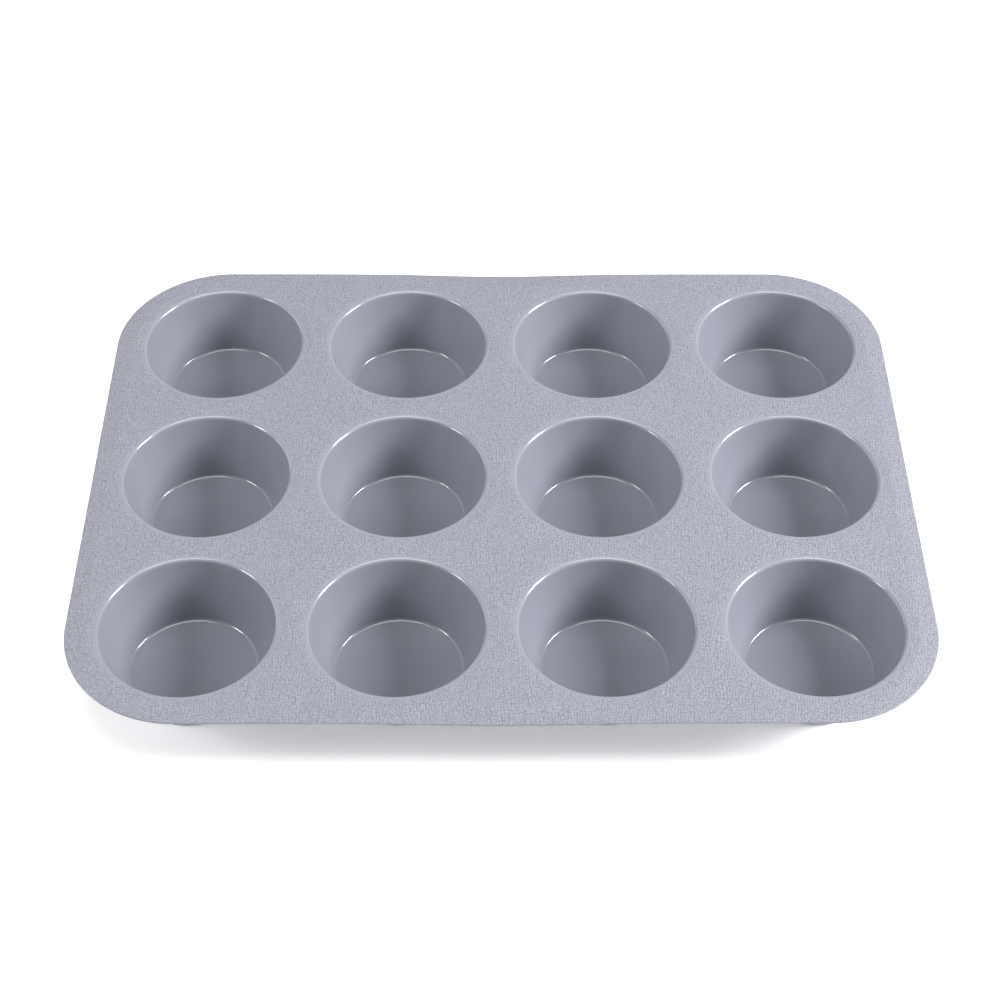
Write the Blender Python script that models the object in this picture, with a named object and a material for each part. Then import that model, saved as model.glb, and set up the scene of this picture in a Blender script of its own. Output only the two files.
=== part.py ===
"""Silicone muffin pan: a grained deck with a leaning rim, and cups in rows and columns.

The silicone is parted where its mould is parted: at the polished collar round each cup and at the
crease where the rim begins. A steel ring lies in a channel inside the rim's bead.

Units are metres. +X runs along the long side, +Y to the back, +Z up. The origin is on the plane
that the cups stand on, at the pan's centre.
"""

import math

import bmesh
import bpy

# Cups
COLUMNS = 4
ROWS = 3
MOUTH_RADIUS = 0.0350       # where the deck starts to turn down into a cup
LIP_RADIUS = 0.0015         # round-over between deck and cup wall
COLLAR_WIDTH = 0.0013       # polished flat band round the mouth, part of the cup
CUP_DEPTH = 0.0267          # deck to cup floor
WALL_DRAFT = math.radians(18.0)
WALL_THICKNESS = 0.0016
FLOOR_FILLET = 0.0015       # inside, where wall meets floor
BASE_THICKNESS = 0.0018
BASE_CORNER = 0.0020        # outside, where wall meets base

# Deck and rim
CUP_LAND = 0.0074           # deck left between two neighbouring collars
FLANGE_WIDTH = 0.0101       # from a collar to the pan's edge
DECK_THICKNESS = 0.0016
RIM_WIDTH = 0.0080
EDGE_THICKNESS = 0.0010
EDGE_CHAMFER = 0.0003
END_TURN = 0.0007           # how far the short edges lie below the deck
EDGE_SAG = 0.0015           # how far the long edges droop halfway along
SAG_REACH = 0.0380          # distance along the edge over which the droop fades

# Ring and the bead that holds it
WIRE_RADIUS = 0.0010
BEAD_COVER = 0.0008         # silicone all round the channel
BEAD_SETBACK = 0.0023       # from the pan's edge to the bead
LOCATOR_LENGTH = 0.0030     # slots where the mould's pins held the ring

# Clearances and mesh steps
JOINT_GAP = 0.0003
CUP_STEPS = 24
ARC_STEPS = 2
CORNER_STEPS = 8
SHORT_SIDE_STEPS = 2
LONG_SIDE_STEPS = 12        # more, because the long sides sag
BEAD_SIDES = 8
SMOOTH_ANGLE = math.radians(35.0)

# Worked out from the sizes above
COLLAR_RADIUS = MOUTH_RADIUS + COLLAR_WIDTH
PITCH = 2.0 * COLLAR_RADIUS + CUP_LAND
EDGE_REACH = COLLAR_RADIUS + FLANGE_WIDTH       # from the outer cups' centres to the pan's edge
CORE_X = 0.5 * (COLUMNS - 1) * PITCH            # outer cups' centres
CORE_Y = 0.5 * (ROWS - 1) * PITCH
DECK_TOP = CUP_DEPTH + BASE_THICKNESS
HALF_SIDE = math.pi / BEAD_SIDES
CHANNEL_RADIUS = WIRE_RADIUS + JOINT_GAP / math.cos(HALF_SIDE)
BEAD_RADIUS = CHANNEL_RADIUS + BEAD_COVER
BEAD_INSET = BEAD_SETBACK + BEAD_RADIUS         # from the pan's edge to the bead's centre
BEAD_HEIGHT = -(BEAD_COVER + CHANNEL_RADIUS)    # the bead's centre, from the rim's top

ROW_NAMES = ("front", "middle", "back")


def clear_scene():
    for old in list(bpy.data.objects):
        bpy.data.objects.remove(old, do_unlink=True)


def make_material(name, colour, roughness, metallic):
    material = bpy.data.materials.new(name)
    material.use_nodes = True
    shader = material.node_tree.nodes["Principled BSDF"]
    shader.inputs["Base Color"].default_value = (*colour, 1.0)
    shader.inputs["Roughness"].default_value = roughness
    shader.inputs["Metallic"].default_value = metallic
    return material


def make_mesh(name, bm, material):
    """Turn a bmesh into a mesh with outward faces, smooth where it is round."""
    bmesh.ops.recalc_face_normals(bm, faces=bm.faces)
    mesh = bpy.data.meshes.new(name)
    bm.to_mesh(mesh)
    bm.free()
    mesh.materials.append(material)
    mesh.shade_smooth()
    mesh.set_sharp_from_angle(angle=SMOOTH_ANGLE)
    return mesh


def place(name, mesh, parent, location):
    piece = bpy.data.objects.new(name, mesh)
    bpy.context.scene.collection.objects.link(piece)
    piece.parent = parent
    piece.location = location
    return piece


def arc(centre, radius, start, end, steps):
    """Points (radius, height) on an arc. Angles are measured from straight down."""
    points = []
    for step in range(steps + 1):
        angle = start + (end - start) * step / steps
        points.append((centre[0] + radius * math.sin(angle), centre[1] - radius * math.cos(angle)))
    return points


def cup_profile():
    """Half section of a cup from floor centre to base centre, heights from the deck's top."""
    wall_angle = math.pi / 2.0 - WALL_DRAFT
    cosine, sine = math.cos(WALL_DRAFT), math.sin(WALL_DRAFT)
    lip_centre = (MOUTH_RADIUS, -LIP_RADIUS)
    straight = CUP_DEPTH - LIP_RADIUS - FLOOR_FILLET
    taper = (LIP_RADIUS + FLOOR_FILLET + straight * sine) / cosine
    fillet_centre = (MOUTH_RADIUS - taper, FLOOR_FILLET - CUP_DEPTH)

    # Outer wall, as the line radius * cosine = height * sine + offset
    offset = lip_centre[0] * cosine - lip_centre[1] * sine - LIP_RADIUS + WALL_THICKNESS
    shoulder = ((offset - DECK_THICKNESS * sine) / cosine, -DECK_THICKNESS)
    corner_height = BASE_CORNER - DECK_TOP
    corner_radius = (offset + corner_height * sine - BASE_CORNER) / cosine

    profile = [(0.0, -CUP_DEPTH)]
    profile += arc(fillet_centre, FLOOR_FILLET, 0.0, wall_angle, ARC_STEPS)
    profile += arc(lip_centre, LIP_RADIUS, wall_angle - math.pi, -math.pi, ARC_STEPS)
    profile += [(COLLAR_RADIUS, 0.0), (COLLAR_RADIUS, -DECK_THICKNESS), shoulder]
    profile += arc((corner_radius, corner_height), BASE_CORNER, wall_angle, 0.0, ARC_STEPS)
    profile.append((0.0, -DECK_TOP))
    return profile


def make_cup_mesh(material):
    bm = bmesh.new()
    verts = [bm.verts.new((radius, 0.0, height)) for radius, height in cup_profile()]
    edges = [bm.edges.new(pair) for pair in zip(verts, verts[1:])]
    bmesh.ops.spin(
        bm, geom=verts + edges, cent=(0.0, 0.0, 0.0), axis=(0.0, 0.0, 1.0),
        angle=2.0 * math.pi, steps=CUP_STEPS, use_merge=True,
    )
    bmesh.ops.remove_doubles(bm, verts=bm.verts, dist=0.000001)
    return make_mesh("cup", bm, material)


def cup_centres():
    """Each cup's row, column and centre, front row first, left to right."""
    for row in range(ROWS):
        for column in range(COLUMNS):
            yield row, column, column * PITCH - CORE_X, row * PITCH - CORE_Y


def locator_centres(count):
    """Slots sit midway between the cups along a side."""
    return [(index - 0.5 * (count - 2)) * PITCH for index in range(count - 1)]


def side_marks(half_length, count, steps):
    """Where the rim has a section along one straight side, from one corner to the next."""
    marks = [half_length * (2.0 * step / steps - 1.0) for step in range(steps + 1)]
    for centre in locator_centres(count):
        marks = [mark for mark in marks if abs(mark - centre) > LOCATOR_LENGTH]
        marks += [centre - LOCATOR_LENGTH / 2.0, centre + LOCATOR_LENGTH / 2.0]
    return sorted(marks)


def rim_stations():
    """Sections round the pan, anticlockwise: core point, outward direction, starts a slot."""
    sides = (
        ((1.0, 0.0), (CORE_X, 0.0), CORE_Y, ROWS, SHORT_SIDE_STEPS),
        ((0.0, 1.0), (0.0, CORE_Y), CORE_X, COLUMNS, LONG_SIDE_STEPS),
        ((-1.0, 0.0), (-CORE_X, 0.0), CORE_Y, ROWS, SHORT_SIDE_STEPS),
        ((0.0, -1.0), (0.0, -CORE_Y), CORE_X, COLUMNS, LONG_SIDE_STEPS),
    )
    stations = []
    for outward, middle, half_length, count, steps in sides:
        along = (-outward[1], outward[0])
        slot_starts = [centre - LOCATOR_LENGTH / 2.0 for centre in locator_centres(count)]
        for mark in side_marks(half_length, count, steps):
            core = (middle[0] + along[0] * mark, middle[1] + along[1] * mark)
            stations.append((core, outward, mark in slot_starts))
        corner = stations[-1][0]
        facing = math.atan2(outward[1], outward[0])
        for step in range(1, CORNER_STEPS):
            angle = facing + 0.5 * math.pi * step / CORNER_STEPS
            stations.append((corner, (math.cos(angle), math.sin(angle)), False))
    return stations


def section_point(station, inset, height, hinge):
    """A point of the rim's section: inset from the pan's edge, height from the deck's top.

    It drops with the leaning rim as a point at the inset hinge would, which keeps the bead round.
    """
    core, outward, _ = station
    reach = EDGE_REACH - inset
    x = core[0] + outward[0] * reach
    y = core[1] + outward[1] * reach
    turn = END_TURN * abs(outward[0])
    sag = EDGE_SAG * abs(outward[1]) * math.exp(-((x / SAG_REACH) ** 2))
    lean = 1.0 - hinge / RIM_WIDTH
    return (x, y, DECK_TOP + height - (turn + sag) * lean)


def octagon(radius):
    """Corners of the bead's, channel's or wire's section, with a flat facet at the bottom."""
    points = []
    for side in range(BEAD_SIDES):
        angle = -HALF_SIDE - 2.0 * HALF_SIDE * side
        inset = BEAD_INSET + radius * math.cos(angle)
        points.append((inset, BEAD_HEIGHT + radius * math.sin(angle), BEAD_INSET))
    return points


def sweep(bm, stations, section):
    """Vertices of one closed section at every station."""
    return [[bm.verts.new(section_point(station, *point)) for point in section] for station in stations]


def skin(bm, rings, left_out=()):
    """Faces between neighbouring rings; left_out holds (station, side) pairs to leave open."""
    sides = len(rings[0])
    for index, ring in enumerate(rings):
        after = rings[(index + 1) % len(rings)]
        for side in range(sides):
            if (index, side) in left_out:
                continue
            following = (side + 1) % sides
            bm.faces.new((ring[side], ring[following], after[following], after[side]))


def make_rim_mesh(material):
    """The rim's band and bead, with the channel inside and the slots that open it below."""
    stations = rim_stations()
    lower_bead = octagon(BEAD_RADIUS)[:BEAD_SIDES // 2]
    channel_section = octagon(CHANNEL_RADIUS)
    band = [
        (EDGE_CHAMFER, -EDGE_THICKNESS),
        (0.0, EDGE_CHAMFER - EDGE_THICKNESS),
        (0.0, -EDGE_CHAMFER),
        (EDGE_CHAMFER, 0.0),
        (RIM_WIDTH, 0.0),
        (RIM_WIDTH, -DECK_THICKNESS),
        (lower_bead[0][0], -DECK_THICKNESS),
    ]
    section = [(lower_bead[-1][0], -EDGE_THICKNESS, lower_bead[-1][0])]
    section += [(inset, height, inset) for inset, height in band]
    section += lower_bead
    bead_bottom = section.index(lower_bead[1])
    channel_bottom = 1      # the facet over the bead's bottom one

    bm = bmesh.new()
    outside = sweep(bm, stations, section)
    channel = sweep(bm, stations, channel_section)
    slots = [index for index, station in enumerate(stations) if station[2]]
    skin(bm, outside, {(index, bead_bottom) for index in slots})
    skin(bm, channel, {(index, channel_bottom) for index in slots})
    for index in slots:
        mouth = [outside[index][bead_bottom], outside[index][bead_bottom + 1]]
        mouth += [outside[index + 1][bead_bottom + 1], outside[index + 1][bead_bottom]]
        inner = [channel[index][channel_bottom], channel[index][channel_bottom + 1]]
        inner += [channel[index + 1][channel_bottom + 1], channel[index + 1][channel_bottom]]
        for corner in range(4):
            following = (corner + 1) % 4
            bm.faces.new((mouth[corner], mouth[following], inner[following], inner[corner]))
    return make_mesh("rim", bm, material)


def make_ring_mesh(material):
    bm = bmesh.new()
    skin(bm, sweep(bm, rim_stations(), octagon(WIRE_RADIUS)))
    return make_mesh("rim_ring", bm, material)


def closed_loop(bm, points):
    verts = [bm.verts.new((x, y, 0.0)) for x, y in points]
    return [bm.edges.new((vert, verts[index - 1])) for index, vert in enumerate(verts)]


def make_deck_mesh(material):
    """A flat sheet, its top at height zero, with a hole for each cup's collar."""
    bm = bmesh.new()
    reach = EDGE_REACH - RIM_WIDTH - JOINT_GAP
    outline = []
    for side_x, side_y, facing in ((1, 1, 0.0), (-1, 1, 0.5), (-1, -1, 1.0), (1, -1, 1.5)):
        for step in range(CORNER_STEPS + 1):
            angle = math.pi * (facing + 0.5 * step / CORNER_STEPS)
            x = side_x * CORE_X + reach * math.cos(angle)
            y = side_y * CORE_Y + reach * math.sin(angle)
            outline.append((x, y))
    edges = closed_loop(bm, outline)

    hole_radius = COLLAR_RADIUS + JOINT_GAP / math.cos(math.pi / CUP_STEPS)
    for _, _, centre_x, centre_y in cup_centres():
        hole = []
        for step in range(CUP_STEPS):
            angle = 2.0 * math.pi * step / CUP_STEPS
            x = centre_x + hole_radius * math.cos(angle)
            y = centre_y + hole_radius * math.sin(angle)
            hole.append((x, y))
        edges += closed_loop(bm, hole)

    bmesh.ops.triangle_fill(bm, use_beauty=True, edges=edges)
    top = bmesh.ops.extrude_face_region(bm, geom=bm.faces[:], use_keep_orig=True)
    lower = [item for item in top["geom"] if isinstance(item, bmesh.types.BMVert)]
    bmesh.ops.translate(bm, vec=(0.0, 0.0, -DECK_THICKNESS), verts=lower)
    return make_mesh("deck", bm, material)


def build_pan():
    clear_scene()
    pan = bpy.data.objects.new("muffin_pan", None)
    bpy.context.scene.collection.objects.link(pan)

    grained = make_material("silicone_grained", (0.34, 0.35, 0.40), 0.60, 0.0)
    rim = make_material("silicone_rim", (0.32, 0.33, 0.38), 0.60, 0.0)
    polished = make_material("silicone_polished", (0.32, 0.34, 0.39), 0.35, 0.0)
    steel = make_material("spring_steel", (0.55, 0.55, 0.56), 0.35, 1.0)

    place("deck", make_deck_mesh(grained), pan, (0.0, 0.0, DECK_TOP))
    place("rim", make_rim_mesh(rim), pan, (0.0, 0.0, 0.0))
    place("rim_ring", make_ring_mesh(steel), pan, (0.0, 0.0, 0.0))
    cup_mesh = make_cup_mesh(polished)
    for row, column, x, y in cup_centres():
        place(f"cup_{ROW_NAMES[row]}_{column + 1}", cup_mesh, pan, (x, y, DECK_TOP))


build_pan()
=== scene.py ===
import math

import bmesh
import bpy
from mathutils import Matrix, Vector


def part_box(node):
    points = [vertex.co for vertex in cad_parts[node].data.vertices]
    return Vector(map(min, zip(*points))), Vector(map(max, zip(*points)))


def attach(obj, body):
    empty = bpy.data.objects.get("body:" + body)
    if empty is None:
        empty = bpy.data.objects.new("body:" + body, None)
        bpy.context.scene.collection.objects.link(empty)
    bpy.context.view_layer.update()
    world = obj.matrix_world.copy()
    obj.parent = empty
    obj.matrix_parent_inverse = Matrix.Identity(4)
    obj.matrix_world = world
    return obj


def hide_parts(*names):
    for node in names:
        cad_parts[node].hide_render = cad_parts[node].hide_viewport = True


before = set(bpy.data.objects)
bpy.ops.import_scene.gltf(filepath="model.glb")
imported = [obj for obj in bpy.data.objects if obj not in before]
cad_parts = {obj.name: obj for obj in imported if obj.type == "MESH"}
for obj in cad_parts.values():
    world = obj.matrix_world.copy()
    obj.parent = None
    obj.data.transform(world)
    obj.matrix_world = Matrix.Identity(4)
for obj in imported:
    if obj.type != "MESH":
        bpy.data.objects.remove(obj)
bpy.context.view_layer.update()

# Places and main sizes come from the frame
rowNames = ["front", "middle", "back"]
columnCount = 4
deckLow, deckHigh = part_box("deck")
rimLow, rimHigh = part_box("rim")
firstLow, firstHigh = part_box("cup_front_1")
nextLow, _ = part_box("cup_front_2")
pitch = nextLow.x - firstLow.x

pan = {
    "deckTop": deckHigh.z,
    "length": rimHigh.x - rimLow.x,
    "width": rimHigh.y - rimLow.y,
    "pitch": pitch,
    "collarRadius": (firstHigh.x - firstLow.x) / 2,
    "deckThickness": deckHigh.z - deckLow.z,
    # from the last cup's axis to the pan's edge, and so the radius of the pan's corners
    "edgeReach": rimHigh.x - (firstLow.x + firstHigh.x) / 2 - (columnCount - 1) * pitch,
    "rimWidth": 0.0080,      # from the pan's edge to the crease where the rim turns down
    "collarDip": 0.00012,    # the deck sinks this much by the time it reaches a cup's collar
    "dipReach": 0.0037,      # and starts to sink this far out
    "weld": 0.000002,        # points closer than this become one
}


def hexColour(code):
    # sRGB hex to the linear colour that shaders take
    channels = [int(code[i:i + 2], 16) / 255 for i in (1, 3, 5)]
    linear = [c / 12.92 if c <= 0.04045 else ((c + 0.055) / 1.055) ** 2.4 for c in channels]
    return (*linear, 1)


def addNode(tree, kind, inputs=(), **settings):
    # A socket given as an input is linked, anything else is the input's value. A Mix node's inputs are
    # numbered: 2 and 3 are its numbers, 6 and 7 its colours, and output 2 is the mixed colour.
    node = tree.nodes.new(kind)
    for name, value in settings.items():
        setattr(node, name, value)
    for key, value in dict(inputs).items():
        if isinstance(value, bpy.types.NodeSocket):
            tree.links.new(value, node.inputs[key])
        else:
            node.inputs[key].default_value = value
    return node


grain = {
    "cell": 0.00105,         # one pebble of the mould's etched grain
    "evenness": 0.6,         # 1 would set the pebbles out in a grid
    "driftScale": 0.12,      # the rows meander over about eight pebbles
    "drift": 0.0048,         # times a noise of about a quarter each way, so by little more than a pebble
    "depth": 0.00030,        # deeper than real, so that it shows from a metre away
    "valleyShadeSpan": (0.3, 0.65),   # painted shade: the valleys' darker colour comes in between these shares of a pebble
    "pore": 0.00040,         # finer roughness on top of the pebbles
    "poreDepth": 0.000006,
    "start": 0.03470,        # from a cup's axis: the grain starts where the smooth lip ends
    "fade": 0.0014,          # and reaches full depth over this distance
    "cloud": 0.0833333,      # slow changes of pigment across the pan
    "pale": "#8f919c",       # pigmented silicone
    "paleWarm": "#91929b",   # where the pigment is thinner
    "valleyShade": "#787a84",     # painted shade between the pebbles
    "underside": "#868792",
    "topSide": (0.3, 0.8),   # by the normal's height: the underside gives way to the top between these
    "smoothRoughness": 0.4,
    "roughness": 0.55,
    "siliconeIOR": 1.42,
}


def newMaterial(name):
    material = bpy.data.materials.new(name)
    material.use_nodes = True
    tree = material.node_tree
    tree.nodes.clear()
    shader = addNode(tree, "ShaderNodeBsdfPrincipled")
    addNode(tree, "ShaderNodeOutputMaterial", {"Surface": shader.outputs[0]})
    return material, tree, shader


def tintRamp(tree, factor, low, high):
    # noise keeps mostly between the two ends, so both colours are reached
    ends = (0.35, 0.65)
    ramp = addNode(tree, "ShaderNodeValToRGB", {"Fac": factor})
    for element, position, colour in zip(ramp.color_ramp.elements, ends, (low, high)):
        element.position = position
        element.color = hexColour(colour)
    return ramp.outputs["Color"]


def grainMask(tree, place):
    # 1 on the pan's top, 0 on its underside and inside the cups' lips; also how level the surface is
    maths = "ShaderNodeVectorMath"
    # Places past the cups' grid are moved to just inside it, so that the rim counts with the outer cups
    justInside = 0.49995 * pan["pitch"]
    corner = (columnCount * justInside, len(rowNames) * justInside, 1)
    opposite = [-value for value in corner]
    low = addNode(tree, maths, {0: place, 1: corner}, operation="MINIMUM")
    held = addNode(tree, maths, {0: low.outputs[0], 1: opposite}, operation="MAXIMUM")
    cells = addNode(tree, maths, {0: held.outputs[0], 1: (pan["pitch"],) * 3}, operation="DIVIDE")
    shifted = addNode(tree, maths, {0: cells.outputs[0], 1: (0, 0.5, 0)}, operation="ADD")
    cell = addNode(tree, maths, {0: shifted.outputs[0]}, operation="FRACTION")
    middle = addNode(tree, maths, {0: cell.outputs[0], 1: (0.5, 0.5, 0)}, operation="SUBTRACT")
    flat = addNode(tree, maths, {0: middle.outputs[0], 1: (pan["pitch"], pan["pitch"], 0)},
                   operation="MULTIPLY")
    distance = addNode(tree, maths, {0: flat.outputs[0]}, operation="LENGTH")
    outside = addNode(tree, "ShaderNodeMapRange", {
        "Value": distance.outputs["Value"], "From Min": grain["start"],
        "From Max": grain["start"] + grain["fade"]}, interpolation_type="SMOOTHSTEP")
    facing = addNode(tree, "ShaderNodeTexCoord").outputs["Normal"]
    level = addNode(tree, "ShaderNodeSeparateXYZ", {0: facing}).outputs["Z"]
    upwards = addNode(tree, "ShaderNodeMapRange", {
        "Value": level, "From Min": grain["topSide"][0], "From Max": grain["topSide"][1]})
    mask = addNode(tree, "ShaderNodeMath", {0: outside.outputs[0], 1: upwards.outputs[0]},
                   operation="MULTIPLY")
    return mask.outputs[0], upwards.outputs[0], level


def pebbles(tree, place, mask):
    # rounded pebbles packed close in meandering rows: their colour with painted shade in the valleys, and
    # the skin they raise
    maths = "ShaderNodeVectorMath"
    wander = addNode(tree, "ShaderNodeTexNoise", {
        "Vector": place, "Scale": grain["driftScale"] / grain["cell"], "Detail": 2})
    centred = addNode(tree, maths, {0: wander.outputs["Color"], 1: (0.5, 0.5, 0.5)}, operation="SUBTRACT")
    shift = addNode(tree, maths, {0: centred.outputs[0], "Scale": grain["drift"]}, operation="SCALE")
    bent = addNode(tree, maths, {0: place, 1: shift.outputs[0]}, operation="ADD")
    onTop = addNode(tree, maths, {0: bent.outputs[0], 1: (1, 1, 0)}, operation="MULTIPLY")
    cells = addNode(tree, "ShaderNodeTexVoronoi", {
        "Vector": onTop.outputs[0], "Scale": 1 / grain["cell"],
        "Randomness": 1 - grain["evenness"]}, feature="F1")
    cloud = addNode(tree, "ShaderNodeTexNoise", {
        "Vector": place, "Scale": 1 / grain["cloud"], "Detail": 3, "Roughness": 0.6})
    top = tintRamp(tree, cloud.outputs["Fac"], grain["pale"], grain["paleWarm"])
    # painted shade: the hollows between pebbles are coloured darker
    valleyShadeSpan = addNode(tree, "ShaderNodeMapRange", {
        "Value": cells.outputs["Distance"], "From Min": grain["valleyShadeSpan"][0], "From Max": grain["valleyShadeSpan"][1]})
    skin = addNode(tree, "ShaderNodeMix", {
        "Factor": valleyShadeSpan.outputs[0], 6: top, 7: hexColour(grain["valleyShade"])}, data_type="RGBA")
    relief = addNode(tree, "ShaderNodeBump", {
        "Height": cells.outputs["Distance"], "Strength": mask, "Distance": grain["depth"]}, invert=True)
    return skin.outputs[2], relief.outputs[0]


def grainedSiliconeMaterial():
    # Liquid silicone rubber off an etched mould: matt, each pebble pale on top with painted shade in the
    # valley round it, so that the sheet looks powdery from a distance
    material, tree, shader = newMaterial("etchedMouldSilicone")
    place = addNode(tree, "ShaderNodeTexCoord").outputs["Object"]
    mask, upwards, _ = grainMask(tree, place)
    top, relief = pebbles(tree, place, mask)
    skin = addNode(tree, "ShaderNodeMix", {"Factor": upwards, 6: hexColour(grain["underside"]), 7: top},
                   data_type="RGBA")
    tree.links.new(skin.outputs[2], shader.inputs["Base Color"])
    pores = addNode(tree, "ShaderNodeTexNoise", {"Vector": place, "Scale": 1 / grain["pore"], "Detail": 2})
    fine = addNode(tree, "ShaderNodeBump", {
        "Height": pores.outputs["Fac"], "Distance": grain["poreDepth"], "Normal": relief})
    tree.links.new(fine.outputs[0], shader.inputs["Normal"])
    gloss = addNode(tree, "ShaderNodeMapRange", {
        "Value": mask, "To Min": grain["smoothRoughness"], "To Max": grain["roughness"]})
    tree.links.new(gloss.outputs[0], shader.inputs["Roughness"])
    shader.inputs["IOR"].default_value = grain["siliconeIOR"]
    return material


polish = {
    "lip": "#8b8d97",        # the thin lip, nearly as pale as the deck
    "dark": "#7d808a",       # the walls' deeper colour: partly the polished skin, partly painted shade of the cups' hollows
    "pale": "#80838d",
    "cloud": 0.0333333,      # slow changes between those two
    "lipFade": (0.0022, 0.0003),   # from this far below the deck to this far, the wall's darker colour, partly painted shade, turns to lip
    "wave": 0.011,           # slow waves left by the release of a soft part
    "waveDepth": 0.00005,
    "bloom": 0.0045,         # faint powdery patches in the gloss
    "gloss": (0.22, 0.26),   # roughness between clean and bloomed
    "oil": 0.09,             # roughness of the film of oil in the floor's fillet and on the lip
    "oilIOR": 1.5,
    "oilSteep": (0.34, 0.45),      # the film starts where the wall bends, by the normal's height
    "oilLevel": (0.995, 0.975),    # and ends where the surface is nearly level
}


def polishedSiliconeMaterial():
    # The same rubber off a polished mould insert: a deeper colour, partly the polished skin and partly
    # painted shade, and a satin skin, with thin clear highlights where a film of oil gathers
    material, tree, shader = newMaterial("polishedMouldSilicone")
    place = addNode(tree, "ShaderNodeTexCoord").outputs["Object"]
    mask, _, level = grainMask(tree, place)
    top, relief = pebbles(tree, place, mask)
    cloud = addNode(tree, "ShaderNodeTexNoise", {
        "Vector": place, "Scale": 1 / polish["cloud"], "Detail": 3, "Roughness": 0.55})
    # the walls' darker colour is partly painted shade
    tint = tintRamp(tree, cloud.outputs["Fac"], polish["dark"], polish["pale"])
    height = addNode(tree, "ShaderNodeSeparateXYZ", {0: place}).outputs["Z"]
    lip = addNode(tree, "ShaderNodeMapRange", {
        "Value": height, "From Min": pan["deckTop"] - polish["lipFade"][0],
        "From Max": pan["deckTop"] - polish["lipFade"][1]}, interpolation_type="SMOOTHSTEP")
    smooth = addNode(tree, "ShaderNodeMix", {
        "Factor": lip.outputs[0], 6: tint, 7: hexColour(polish["lip"])}, data_type="RGBA")
    skin = addNode(tree, "ShaderNodeMix", {"Factor": mask, 6: smooth.outputs[2], 7: top}, data_type="RGBA")
    tree.links.new(skin.outputs[2], shader.inputs["Base Color"])

    waves = addNode(tree, "ShaderNodeTexNoise", {"Vector": place, "Scale": 1 / polish["wave"], "Detail": 1})
    slow = addNode(tree, "ShaderNodeBump", {
        "Height": waves.outputs["Fac"], "Distance": polish["waveDepth"], "Normal": relief})
    tree.links.new(slow.outputs[0], shader.inputs["Normal"])

    bloom = addNode(tree, "ShaderNodeTexNoise", {
        "Vector": place, "Scale": 1 / polish["bloom"], "Detail": 4})
    gloss = addNode(tree, "ShaderNodeMapRange", {
        "Value": bloom.outputs["Fac"], "To Min": polish["gloss"][0], "To Max": polish["gloss"][1]})
    matt = addNode(tree, "ShaderNodeMix", {"Factor": mask, 2: gloss.outputs[0], 3: grain["roughness"]},
                   data_type="FLOAT")
    tree.links.new(matt.outputs[0], shader.inputs["Roughness"])
    shader.inputs["IOR"].default_value = grain["siliconeIOR"]

    rising = addNode(tree, "ShaderNodeMapRange", {
        "Value": level, "From Min": polish["oilSteep"][0], "From Max": polish["oilSteep"][1]})
    falling = addNode(tree, "ShaderNodeMapRange", {
        "Value": level, "From Min": polish["oilLevel"][0], "From Max": polish["oilLevel"][1]})
    film = addNode(tree, "ShaderNodeMath", {0: rising.outputs[0], 1: falling.outputs[0]},
                   operation="MULTIPLY")
    tree.links.new(film.outputs[0], shader.inputs["Coat Weight"])
    shader.inputs["Coat Roughness"].default_value = polish["oil"]
    shader.inputs["Coat IOR"].default_value = polish["oilIOR"]
    return material


wireSkin = {
    "line": 0.00111111,      # length of the die's marks
    "gloss": (0.25, 0.4),    # roughness, between burnished and dull
    "dull": "#b2b0ad",
    "bright": "#c9c8c5",
}


def springWireMaterial():
    # Drawn spring steel: bright grey metal, with fine marks from the die and slight differences in gloss
    material, tree, shader = newMaterial("drawnSpringSteel")
    place = addNode(tree, "ShaderNodeTexCoord").outputs["Object"]
    marks = addNode(tree, "ShaderNodeTexNoise", {
        "Vector": place, "Scale": 1 / wireSkin["line"], "Detail": 2})
    gloss = addNode(tree, "ShaderNodeMapRange", {
        "Value": marks.outputs["Fac"], "To Min": wireSkin["gloss"][0], "To Max": wireSkin["gloss"][1]})
    tree.links.new(gloss.outputs[0], shader.inputs["Roughness"])
    tint = tintRamp(tree, marks.outputs["Fac"], wireSkin["dull"], wireSkin["bright"])
    tree.links.new(tint, shader.inputs["Base Color"])
    shader.inputs["Metallic"].default_value = 1
    return material


def newTree(name, numbers, *others):
    # a tree with a geometry socket each way, named float inputs, and others given as (name, kind)
    tree = bpy.data.node_groups.new(name, "GeometryNodeTree")
    tree.interface.new_socket("Geometry", in_out="INPUT", socket_type="NodeSocketGeometry")
    for label in numbers:
        tree.interface.new_socket(label, in_out="INPUT", socket_type="NodeSocketFloat")
    for label, kind in others:
        tree.interface.new_socket(label, in_out="INPUT", socket_type=kind)
    tree.interface.new_socket("Geometry", in_out="OUTPUT", socket_type="NodeSocketGeometry")
    return tree, addNode(tree, "NodeGroupInput").outputs


def closeTree(tree, given, geometry):
    smooth = addNode(tree, "GeometryNodeSetShadeSmooth", {"Geometry": geometry})
    real = addNode(tree, "GeometryNodeRealizeInstances", {"Geometry": smooth.outputs[0]})
    made = addNode(tree, "GeometryNodeSetMaterial", {
        "Geometry": real.outputs[0], "Material": given["Material"]})
    addNode(tree, "NodeGroupOutput", {"Geometry": made.outputs[0]})
    return tree


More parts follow.
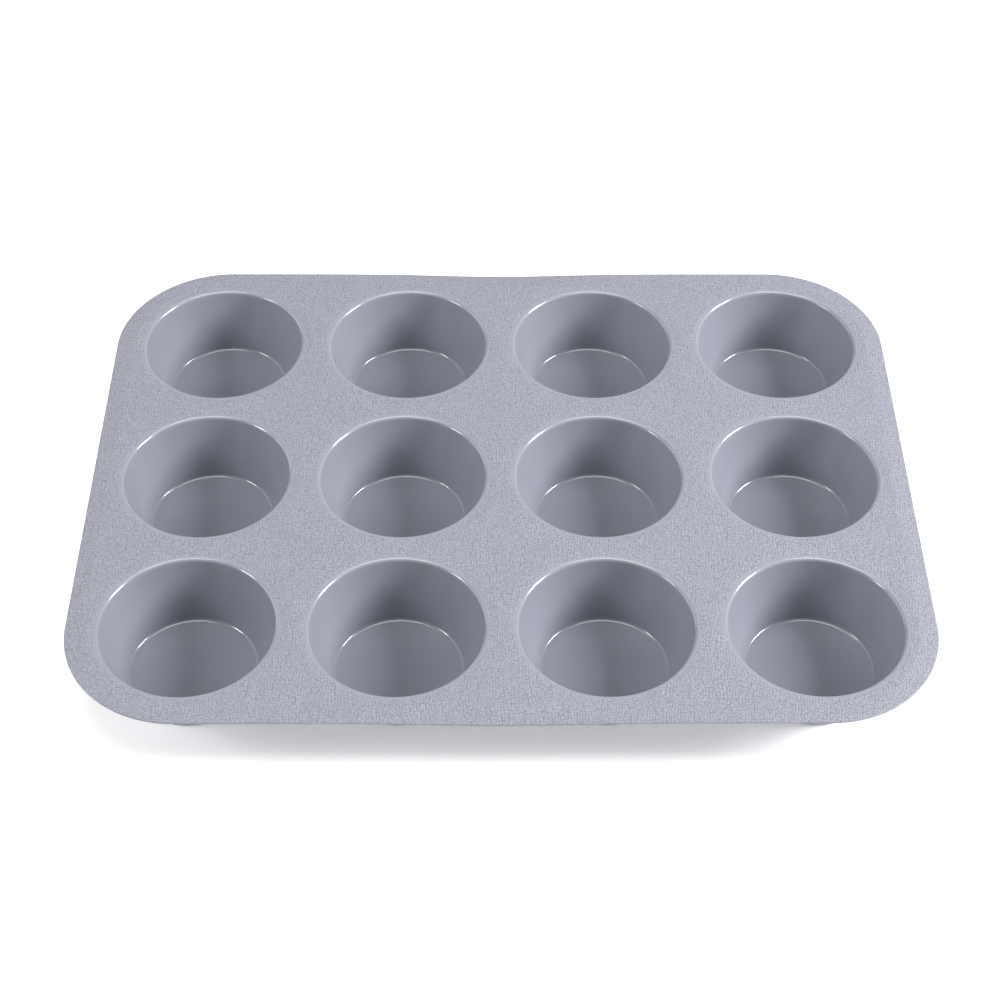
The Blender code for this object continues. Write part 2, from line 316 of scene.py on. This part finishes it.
def growPiece(name, section, loops, tree, values):
    # Section points are (outwards, up), and a sweep lays its section's +Y downwards. Each loop is the
    # first point, how many points there are, and whether it closes.
    points = [(outwards, -up, 0) for outwards, up in section]
    mesh = bpy.data.meshes.new(name)
    edges = []
    for start, count, closed in loops:
        edges += [(start + i, start + i + 1) for i in range(count - 1)]
        if closed:
            edges.append((start + count - 1, start))
    mesh.from_pydata(points, edges, [])
    seed = bpy.data.objects.new(name, mesh)
    bpy.context.scene.collection.objects.link(seed)
    modifier = seed.modifiers.new("grow", "NODES")
    modifier.node_group = tree
    for item in tree.interface.items_tree:
        if item.item_type == "SOCKET" and item.in_out == "INPUT" and item.name in values:
            modifier[item.identifier] = values[item.name]
    bpy.context.view_layer.update()
    evaluated = seed.evaluated_get(bpy.context.evaluated_depsgraph_get())
    grown = bpy.data.meshes.new_from_object(evaluated)
    seed.modifiers.clear()
    seed.data = grown
    grown.name = name
    return turnOutwards(seed)


def turnOutwards(piece):
    sharpest = 32            # degrees: edges that turn more than this are shaded sharp
    bm = bmesh.new()
    bm.from_mesh(piece.data)
    bmesh.ops.recalc_face_normals(bm, faces=bm.faces)
    bm.to_mesh(piece.data)
    bm.free()
    piece.data.shade_smooth()
    piece.data.set_sharp_from_angle(angle=math.radians(sharpest))
    return piece


def finishPiece(piece, slot, *nodes):
    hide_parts(*nodes)
    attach(piece, "root")


cup = {
    "mouthRadius": 0.0350,   # where the lip is level with the deck
    "lipRadius": 0.0015,
    "draft": 18.0,           # degrees between the wall and upright
    "wall": 0.0016,
    "floorFillet": 0.0015,
    "base": 0.0018,
    "baseCorner": 0.0020,
    "around": 128,
    "filletSteps": 14,
    "floorSteps": 4,
    "collarSteps": 4,
}


def arcPoints(centreRadius, centreHeight, radius, start, end, steps):
    # angles in radians from straight down, towards the rim
    points = []
    for step in range(steps + 1):
        angle = start + (end - start) * step / steps
        points.append((centreRadius + radius * math.sin(angle), centreHeight - radius * math.cos(angle)))
    return points


def dipAt(distance):
    # how far the deck's skin has sunk at this distance from a cup's axis
    share = (pan["collarRadius"] + pan["dipReach"] - distance) / pan["dipReach"]
    return pan["collarDip"] * max(share, 0) ** 2


def cupSection():
    # half a cup's outline, from the middle of its floor over the lip and down to the middle of its base
    depth = pan["deckTop"] - cup["base"]
    wallTurn = math.radians(90 - cup["draft"])
    cosine, sine = math.sin(wallTurn), math.cos(wallTurn)
    lip, fillet, corner = cup["lipRadius"], cup["floorFillet"], cup["baseCorner"]
    lipHeight = -dipAt(cup["mouthRadius"]) - lip
    taper = (lip + fillet + (depth + lipHeight - fillet) * sine) / cosine
    offset = cup["mouthRadius"] * cosine - lipHeight * sine - lip + cup["wall"]
    under = -pan["deckThickness"]
    cornerHeight = corner - pan["deckTop"]
    cornerRadius = (offset + cornerHeight * sine - corner) / cosine
    steps, floorSteps, collarSteps = cup["filletSteps"], cup["floorSteps"], cup["collarSteps"]

    floorEdge = cup["mouthRadius"] - taper
    points = [(floorEdge * i / floorSteps, -depth) for i in range(floorSteps)]
    points += arcPoints(floorEdge, fillet - depth, fillet, 0, wallTurn, steps)
    points += arcPoints(cup["mouthRadius"], lipHeight, lip, wallTurn - math.pi, -math.pi, steps)
    for i in range(1, collarSteps + 1):
        radius = cup["mouthRadius"] + (pan["collarRadius"] - cup["mouthRadius"]) * i / collarSteps
        points.append((radius, -dipAt(radius)))
    points.append((pan["collarRadius"], under))
    points.append(((offset + under * sine) / cosine, under))
    points += arcPoints(cornerRadius, cornerHeight, corner, wallTurn, 0, steps)
    points += [(cornerRadius * i / floorSteps, -pan["deckTop"]) for i in reversed(range(floorSteps))]
    return points


def turningTree():
    # turns a half section round a vertical axis
    tree, given = newTree("cupTurning", ["Path Radius"], ("Around", "NodeSocketInt"),
                          ("Centre", "NodeSocketVector"), ("Material", "NodeSocketMaterial"))
    section = addNode(tree, "GeometryNodeMeshToCurve", {"Mesh": given["Geometry"]})
    circle = addNode(tree, "GeometryNodeCurvePrimitiveCircle", {
        "Resolution": given["Around"], "Radius": given["Path Radius"]}, mode="RADIUS")
    upright = addNode(tree, "GeometryNodeSetCurveNormal", {"Curve": circle.outputs[0]}, mode="Z_UP")
    turned = addNode(tree, "GeometryNodeCurveToMesh", {
        "Curve": upright.outputs[0], "Profile Curve": section.outputs[0]})
    closed = addNode(tree, "GeometryNodeMergeByDistance", {
        "Geometry": turned.outputs[0], "Distance": pan["weld"]})
    moved = addNode(tree, "GeometryNodeTransform", {
        "Geometry": closed.outputs[0], "Translation": given["Centre"]})
    return closeTree(tree, given, moved.outputs[0])


def makeCups(material):
    tree = turningTree()
    pathRadius = cup["mouthRadius"]
    section = [(radius - pathRadius, height) for radius, height in cupSection()]
    loops = [(0, len(section), False)]
    for rowName in rowNames:
        for column in range(columnCount):
            node = f"cup_{rowName}_{column + 1}"
            low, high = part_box(node)
            piece = growPiece(f"cup{rowName.capitalize()}{column + 1}", section, loops, tree, {
                "Around": cup["around"], "Path Radius": pathRadius, "Material": material,
                "Centre": ((low.x + high.x) / 2, (low.y + high.y) / 2, pan["deckTop"]),
            })
            finishPiece(piece, "silicone_polished", node)
    print("cups made")


deck = {
    "around": 128,           # steps round each cup, shared with the cups' collars
    "rings": 9,
}


def cellEdge(step, reaches):
    # where a ray from a cup's centre meets its cell; reaches are +x, -x, +y, -y, and None is the open side
    angle = 2 * math.pi * step / deck["around"]
    cosine, sine = math.cos(angle), math.sin(angle)
    outer = pan["edgeReach"] - pan["rimWidth"]
    reachX, reachY = reaches[0 if cosine >= 0 else 1], reaches[2 if sine >= 0 else 3]
    if reachX is None and reachY is None:
        return outer * cosine, outer * sine
    reachX, reachY = reachX or outer, reachY or outer
    larger = max(abs(cosine), abs(sine))
    return reachX * cosine / larger, reachY * sine / larger


def makeDeck(material):
    # rings of faces from each cup's collar out to the edge of its cell, welded and given thickness
    bm = bmesh.new()
    half = pan["pitch"] / 2
    for row, rowName in enumerate(rowNames):
        for column in range(columnCount):
            low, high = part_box(f"cup_{rowName}_{column + 1}")
            centre = Vector(((low.x + high.x) / 2, (low.y + high.y) / 2))
            reaches = (half if column < columnCount - 1 else None, half if column > 0 else None,
                       half if row < len(rowNames) - 1 else None, half if row > 0 else None)
            rings = []
            for ring in range(deck["rings"] + 1):
                share = ring / deck["rings"]
                loop = []
                for step in range(deck["around"]):
                    angle = 2 * math.pi * step / deck["around"]
                    inner = Vector((math.cos(angle), math.sin(angle))) * pan["collarRadius"]
                    spot = inner.lerp(Vector(cellEdge(step, reaches)), share)
                    loop.append(bm.verts.new((*(centre + spot), pan["deckTop"] - dipAt(spot.length))))
                rings.append(loop)
            for inner, outer in zip(rings, rings[1:]):
                for step in range(deck["around"]):
                    after = (step + 1) % deck["around"]
                    bm.faces.new((inner[step], outer[step], outer[after], inner[after]))
    bmesh.ops.remove_doubles(bm, verts=bm.verts, dist=pan["weld"])
    # The underside and the walls are made face by face, because an extrusion's order of faces varies
    faces, borders = bm.faces[:], [edge for edge in bm.edges if edge.is_boundary]
    lower = pan["deckTop"] - pan["deckThickness"]
    under = {vert: bm.verts.new((vert.co.x, vert.co.y, lower)) for vert in bm.verts[:]}
    for face in faces:
        bm.faces.new([under[vert] for vert in face.verts])
    for edge in borders:
        first, second = edge.verts
        bm.faces.new((first, second, under[second], under[first]))
    mesh = bpy.data.meshes.new("deckSheet")
    bm.to_mesh(mesh)
    bm.free()
    mesh.materials.append(material)
    piece = bpy.data.objects.new("deckSheet", mesh)
    bpy.context.scene.collection.objects.link(piece)
    turnOutwards(piece)
    finishPiece(piece, "silicone_grained", "deck")
    print("deck made")


rim = {
    "edge": 0.0010,          # thickness at the pan's edge
    "edgeRound": 0.0004,
    "flash": 0.00006,        # faint parting line that stands out round the edge
    "turn": 0.0007,          # the short edges lie this far below the deck
    "sag": 0.0015,           # and the long ones this far, halfway along
    "sagReach": 0.0380,
    "crease": 0.22,          # share of the rim's width over which the turn starts
    "spacing": 0.0012,       # between sections along the path
    "cover": 0.0008,         # silicone round the wire's channel
    "setback": 0.0023,       # from the pan's edge to the bead
    "wire": 0.0010,          # radius
    "play": 0.0003,          # between the wire and its channel
    "edgeSteps": 6,          # round each corner of the edge
    "topSteps": 16,          # across the band, so that it can bend
    "beadSteps": 20,
    "channelSteps": 24,
    "wireSteps": 16,
    "cornerSteps": 64,       # round each corner of the pan
    "slotSteps": 24,
    "slotLength": 0.0030,
    "slotWidth": 0.0013,
}


pathNumbers = ["Path X", "Path Y", "Path Corner", "Spacing", "Top"]
leanNumbers = ["Core X", "Core Y", "Edge Reach", "Rim Width", "Crease", "Turn", "Sag", "Sag Reach"]
slotNumbers = ["Pitch", "Slot Inset", "Slot Length", "Slot Width", "Slot Depth", "Slot Height"]


def leaningTree():
    # lowers points outside the crease: by the turn of the short sides and the sag of the long ones
    tree, given = newTree("rimLean", leanNumbers)
    position = addNode(tree, "GeometryNodeInputPosition").outputs[0]
    place = addNode(tree, "ShaderNodeSeparateXYZ", {0: position}).outputs
    known = {label: given[label] for label in leanNumbers}
    known.update({"x": place["X"], "y": place["Y"]})
    tiny = 0.000001          # keeps a division by the reach safe
    # Each step is its own name, an operation, and what it takes: numbers, or the names of earlier values.
    # The lean is a parabola up to the crease's width, then a straight line that ends at 1.
    steps = (
        ("awayX", "ABSOLUTE", "x"),
        ("pastX", "SUBTRACT", "awayX", "Core X"),
        ("outX", "MAXIMUM", "pastX", 0),
        ("awayY", "ABSOLUTE", "y"),
        ("pastY", "SUBTRACT", "awayY", "Core Y"),
        ("outY", "MAXIMUM", "pastY", 0),
        ("squareX", "MULTIPLY", "outX", "outX"),
        ("squareY", "MULTIPLY", "outY", "outY"),
        ("square", "ADD", "squareX", "squareY"),
        ("reach", "SQRT", "square"),
        ("inset", "SUBTRACT", "Edge Reach", "reach"),
        ("insetShare", "DIVIDE", "inset", "Rim Width"),
        ("outShare", "SUBTRACT", 1, "insetShare"),
        ("share", "MAXIMUM", "outShare", 0),
        ("bend", "MINIMUM", "share", "Crease"),
        ("bendSquare", "MULTIPLY", "bend", "bend"),
        ("twoCreases", "MULTIPLY", 2, "Crease"),
        ("parabola", "DIVIDE", "bendSquare", "twoCreases"),
        ("straight", "SUBTRACT", "share", "bend"),
        ("curve", "ADD", "parabola", "straight"),
        ("halfCrease", "MULTIPLY", 0.5, "Crease"),
        ("curveEnd", "SUBTRACT", 1, "halfCrease"),
        ("lean", "DIVIDE", "curve", "curveEnd"),
        ("along", "DIVIDE", "x", "Sag Reach"),
        ("alongSquare", "MULTIPLY", "along", "along"),
        ("minusSquare", "MULTIPLY", -1, "alongSquare"),
        ("bell", "EXPONENT", "minusSquare"),
        ("divisor", "MAXIMUM", "reach", tiny),
        ("longSide", "DIVIDE", "outY", "divisor"),
        ("shortSide", "DIVIDE", "outX", "divisor"),
        ("turned", "MULTIPLY", "Turn", "shortSide"),
        ("bellSide", "MULTIPLY", "bell", "longSide"),
        ("sagged", "MULTIPLY", "Sag", "bellSide"),
        ("drop", "ADD", "turned", "sagged"),
        ("leaned", "MULTIPLY", "lean", "drop"),
        ("down", "MULTIPLY", -1, "leaned"),
    )
    for name, operation, *sources in steps:
        taken = dict(enumerate(known.get(source, source) for source in sources))
        known[name] = addNode(tree, "ShaderNodeMath", taken, operation=operation).outputs[0]
    offset = addNode(tree, "ShaderNodeCombineXYZ", {"Z": known["down"]})
    moved = addNode(tree, "GeometryNodeSetPosition", {
        "Geometry": given["Geometry"], "Offset": offset.outputs[0]})
    addNode(tree, "NodeGroupOutput", {"Geometry": moved.outputs[0]})
    return tree


def rimTree(name, lean, withSlots):
    # sweeps closed sections round the pan, cuts the locator slots, then leans the result
    tree, given = newTree(name, pathNumbers + leanNumbers + slotNumbers, ("Material", "NodeSocketMaterial"))
    section = addNode(tree, "GeometryNodeMeshToCurve", {"Mesh": given["Geometry"]})
    box = addNode(tree, "GeometryNodeCurvePrimitiveQuadrilateral", {
        "Width": given["Path X"], "Height": given["Path Y"]}, mode="RECTANGLE")
    rounded = addNode(tree, "GeometryNodeFilletCurve", {
        "Curve": box.outputs[0], "Count": rim["cornerSteps"], "Radius": given["Path Corner"]}, mode="POLY")
    path = addNode(tree, "GeometryNodeResampleCurve", {
        "Curve": rounded.outputs[0], "Length": given["Spacing"]}, mode="LENGTH")
    upright = addNode(tree, "GeometryNodeSetCurveNormal", {"Curve": path.outputs[0]}, mode="Z_UP")
    swept = addNode(tree, "GeometryNodeCurveToMesh", {
        "Curve": upright.outputs[0], "Profile Curve": section.outputs[0]})
    up = addNode(tree, "ShaderNodeCombineXYZ", {"Z": given["Top"]})
    raised = addNode(tree, "GeometryNodeTransform", {
        "Geometry": swept.outputs[0], "Translation": up.outputs[0]})
    solid = raised.outputs[0]
    if withSlots:
        solid = cutSlots(tree, given, solid)
    leaned = addNode(tree, "GeometryNodeGroup", node_tree=lean)
    tree.links.new(solid, leaned.inputs["Geometry"])
    for label in leanNumbers:
        tree.links.new(given[label], leaned.inputs[label])
    return closeTree(tree, given, leaned.outputs[0])


def cutSlots(tree, given, solid):
    # an oval hole midway between every two cups, up into the channel
    maths = "ShaderNodeMath"
    middle = addNode(tree, maths, {0: given["Edge Reach"], 1: given["Slot Inset"]}, operation="SUBTRACT")
    halfX = addNode(tree, maths, {0: given["Core X"], 1: middle.outputs[0]}, operation="ADD")
    halfY = addNode(tree, maths, {0: given["Core Y"], 1: middle.outputs[0]}, operation="ADD")
    wholeX = addNode(tree, maths, {0: halfX.outputs[0], 1: 2}, operation="MULTIPLY")
    wholeY = addNode(tree, maths, {0: halfY.outputs[0], 1: 2}, operation="MULTIPLY")
    rowX = addNode(tree, maths, {0: given["Pitch"], 1: columnCount - 2}, operation="MULTIPLY")
    rowY = addNode(tree, maths, {0: given["Pitch"], 1: len(rowNames) - 2}, operation="MULTIPLY")
    layouts = (
        (columnCount - 1, 2, rowX, wholeY, "Slot Length", "Slot Width"),
        (2, len(rowNames) - 1, wholeX, rowY, "Slot Width", "Slot Length"),
    )
    parts = []
    for countX, countY, sizeX, sizeY, spanX, spanY in layouts:
        spots = addNode(tree, "GeometryNodeMeshGrid", {
            "Size X": sizeX.outputs[0], "Size Y": sizeY.outputs[0],
            "Vertices X": countX, "Vertices Y": countY})
        pin = addNode(tree, "GeometryNodeMeshCylinder", {
            "Vertices": rim["slotSteps"], "Radius": 0.5, "Depth": given["Slot Depth"]})
        oval = addNode(tree, "ShaderNodeCombineXYZ", {"X": given[spanX], "Y": given[spanY], "Z": 1})
        lift = addNode(tree, "ShaderNodeCombineXYZ", {"Z": given["Slot Height"]})
        shaped = addNode(tree, "GeometryNodeTransform", {
            "Geometry": pin.outputs[0], "Scale": oval.outputs[0], "Translation": lift.outputs[0]})
        placed = addNode(tree, "GeometryNodeInstanceOnPoints", {
            "Points": spots.outputs[0], "Instance": shaped.outputs[0]})
        parts.append(addNode(tree, "GeometryNodeRealizeInstances", {0: placed.outputs[0]}).outputs[0])
    cutters = addNode(tree, "GeometryNodeJoinGeometry", {0: parts[0]})
    tree.links.new(parts[1], cutters.inputs[0])
    cut = addNode(tree, "GeometryNodeMeshBoolean", {0: solid, 1: cutters.outputs[0]},
                  operation="DIFFERENCE", solver="EXACT")
    return cut.outputs[0]


def rimSection(channelRadius, beadInset, beadHeight):
    # the band and its bead, as (inset from the pan's edge, height from the deck), anticlockwise
    beadRadius = channelRadius + rim["cover"]
    thickness, edge, roundness, flash = pan["deckThickness"], rim["edge"], rim["edgeRound"], rim["flash"]
    edgeSteps, topSteps = rim["edgeSteps"], rim["topSteps"]
    points = []
    centre = roundness + flash
    for step in range(edgeSteps + 1):
        angle = math.radians(90 * step / edgeSteps)
        points.append((centre - roundness * math.sin(angle), -edge + roundness * (1 - math.cos(angle))))
    points += [(flash, -edge / 2 - flash), (0, -edge / 2), (flash, -edge / 2 + flash)]
    for step in range(edgeSteps + 1):
        angle = math.radians(90 * step / edgeSteps)
        points.append((centre - roundness * math.cos(angle), -roundness * (1 - math.sin(angle))))
    for step in range(1, topSteps + 1):
        points.append((centre + (pan["rimWidth"] - centre) * step / topSteps, 0))
    points += [(pan["rimWidth"], -thickness), (beadInset + beadRadius, -thickness)]
    for step in range(1, rim["beadSteps"]):
        angle = -math.pi * step / rim["beadSteps"]
        points.append((beadInset + beadRadius * math.cos(angle), beadHeight + beadRadius * math.sin(angle)))
    points.append((beadInset - beadRadius, -edge))
    return points


def roundSection(radius, beadInset, beadHeight, steps):
    points = []
    for step in range(steps):
        angle = 2 * math.pi * step / steps
        points.append((beadInset + radius * math.cos(angle), beadHeight + radius * math.sin(angle)))
    return points


def makeRim(rimMaterial, wireMaterial):
    channelRadius = rim["wire"] + rim["play"]
    beadRadius = channelRadius + rim["cover"]
    beadInset = rim["setback"] + beadRadius
    beadHeight = -(rim["cover"] + channelRadius)
    coreX, coreY = pan["length"] / 2 - pan["edgeReach"], pan["width"] / 2 - pan["edgeReach"]
    values = {
        "Path X": pan["length"], "Path Y": pan["width"], "Path Corner": pan["edgeReach"],
        "Spacing": rim["spacing"], "Top": pan["deckTop"], "Core X": coreX, "Core Y": coreY,
        "Edge Reach": pan["edgeReach"], "Rim Width": pan["rimWidth"], "Crease": rim["crease"],
        "Turn": rim["turn"], "Sag": rim["sag"], "Sag Reach": rim["sagReach"], "Pitch": pan["pitch"],
        "Slot Inset": beadInset, "Slot Length": rim["slotLength"], "Slot Width": rim["slotWidth"],
        "Slot Depth": beadRadius, "Slot Height": pan["deckTop"] + beadHeight - beadRadius,
    }
    lean = leaningTree()
    band = rimSection(channelRadius, beadInset, beadHeight)
    channel = roundSection(channelRadius, beadInset, beadHeight, rim["channelSteps"])
    lines = [(-inset, height) for inset, height in band + channel]
    loops = [(0, len(band), True), (len(band), len(channel), True)]
    piece = growPiece("rimBand", lines, loops, rimTree("rimSweep", lean, True),
                      {**values, "Material": rimMaterial})
    finishPiece(piece, "silicone_rim", "rim")

    ring = roundSection(rim["wire"], beadInset, beadHeight, rim["wireSteps"])
    wire = [(-inset, height) for inset, height in ring]
    piece = growPiece("rimWire", wire, [(0, len(wire), True)], rimTree("wireSweep", lean, False),
                      {**values, "Material": wireMaterial})
    finishPiece(piece, "spring_steel", "rim_ring")
    print("rim and ring made")


studio = {
    "lens": 73.84,           # mm on a 36 mm sensor
    "distance": 0.83723,
    "elevation": 45.816,     # degrees
    "azimuth": -0.516,
    "roll": 0.346,
    "shift": (-0.00093, -0.02467),
    "aimBelowDeck": 0.00045,
    "floor": "#f4f4f4",
    "floorGlow": 0.35,       # the middle of the floor is a light table
    "glowRadius": (0.30, 0.60),
    "world": 0.02,
    "floorGap": 0.0001,      # keeps the floor clear of the cups' bases
    "floorRadius": 2.6,
    "coveRadius": 0.9,       # the floor curves up into a wall, out of the camera's view
    "wallHeight": 2.2,
    "floorRings": 8,
    "coveSteps": 12,
    "around": 96,
    "roughness": 0.9,
    "shine": 0.1,            # the floor's mirror reflection, well below a plastic's 0.5
    "lightDistance": 1.6,
    "lights": {              # azimuth and elevation in degrees, width and height in metres, power in watts
        "rightSoftbox": (87, 28, 0.55, 0.6, 45.5),
        "leftSoftbox": (-74, 30, 0.4, 0.4, 11.0),
        "leftBackSoftbox": (-110, 22, 1.2, 0.9, 6.5),
        "topSoftbox": (0, 89, 1.2, 1.2, 17.0),
    },
}


def makeFloor():
    # a pale floor that curves up into a round wall
    cove, gap = studio["coveRadius"], studio["floorGap"]
    around, floorRings = studio["around"], studio["floorRings"]
    outline = [(studio["floorRadius"] * i / floorRings, 0) for i in range(1, floorRings + 1)]
    outline += arcPoints(studio["floorRadius"], cove, cove, 0, math.pi / 2, studio["coveSteps"])[1:]
    outline.append((studio["floorRadius"] + cove, studio["wallHeight"]))
    bm = bmesh.new()
    rings = []
    for radius, height in outline:
        ring = []
        for step in range(around):
            angle = 2 * math.pi * step / around
            ring.append(bm.verts.new((radius * math.cos(angle), radius * math.sin(angle), height - gap)))
        rings.append(ring)
    bm.faces.new(rings[0])
    for inner, outer in zip(rings, rings[1:]):
        for step in range(around):
            after = (step + 1) % around
            bm.faces.new((inner[step], outer[step], outer[after], inner[after]))
    mesh = bpy.data.meshes.new("floor")
    bm.to_mesh(mesh)
    bm.free()
    mesh.shade_smooth()
    material, tree, shader = newMaterial("paleFloor")
    shader.inputs["Base Color"].default_value = hexColour(studio["floor"])
    shader.inputs["Roughness"].default_value = studio["roughness"]
    shader.inputs["Specular IOR Level"].default_value = studio["shine"]
    shader.inputs["Emission Color"].default_value = (1, 1, 1, 1)
    place = addNode(tree, "ShaderNodeTexCoord").outputs["Object"]
    distance = addNode(tree, "ShaderNodeVectorMath", {0: place}, operation="LENGTH").outputs["Value"]
    glow = addNode(tree, "ShaderNodeMapRange", {
        "Value": distance, "From Min": studio["glowRadius"][0], "From Max": studio["glowRadius"][1],
        "To Min": studio["floorGlow"], "To Max": 0}, interpolation_type="SMOOTHSTEP")
    tree.links.new(glow.outputs[0], shader.inputs["Emission Strength"])
    mesh.materials.append(material)
    floor = bpy.data.objects.new("floor", mesh)
    bpy.context.scene.collection.objects.link(floor)


def lookFrom(thing, target, azimuth, elevation, distance, roll=0):
    # azimuth 0 stands in front of the pan, at -Y, and grows towards +X
    turn, rise = math.radians(azimuth), math.radians(elevation)
    back = Vector((math.sin(turn) * math.cos(rise), -math.cos(turn) * math.cos(rise), math.sin(rise)))
    thing.location = target + back * distance
    facing = back.to_track_quat("Z", "Y").to_matrix().to_4x4()
    thing.rotation_euler = (facing @ Matrix.Rotation(math.radians(roll), 4, "Z")).to_euler()


def makeStudio():
    scene = bpy.context.scene
    world = bpy.data.worlds.new("studio")
    world.use_nodes = True
    backdrop = world.node_tree.nodes["Background"].inputs
    backdrop["Color"].default_value = (1, 1, 1, 1)
    backdrop["Strength"].default_value = studio["world"]
    scene.world = world
    scene.view_settings.view_transform = "Standard"
    target = Vector((0, 0, pan["deckTop"] - studio["aimBelowDeck"]))
    for name, (azimuth, elevation, width, height, power) in studio["lights"].items():
        light = bpy.data.lights.new(name, "AREA")
        light.shape = "RECTANGLE"
        light.size, light.size_y = width, height
        light.energy = power
        holder = bpy.data.objects.new(name, light)
        holder.visible_camera = False
        scene.collection.objects.link(holder)
        lookFrom(holder, target, azimuth, elevation, studio["lightDistance"])
    camera = bpy.data.objects.new("camera", bpy.data.cameras.new("camera"))
    camera.data.lens = studio["lens"]
    camera.data.shift_x, camera.data.shift_y = studio["shift"]
    scene.collection.objects.link(camera)
    lookFrom(camera, target, studio["azimuth"], studio["elevation"], studio["distance"], studio["roll"])
    scene.camera = camera
    print("studio made")


grained = grainedSiliconeMaterial()
polished = polishedSiliconeMaterial()
makeFloor()
makeStudio()
makeCups(polished)
makeDeck(grained)
makeRim(grained, springWireMaterial())
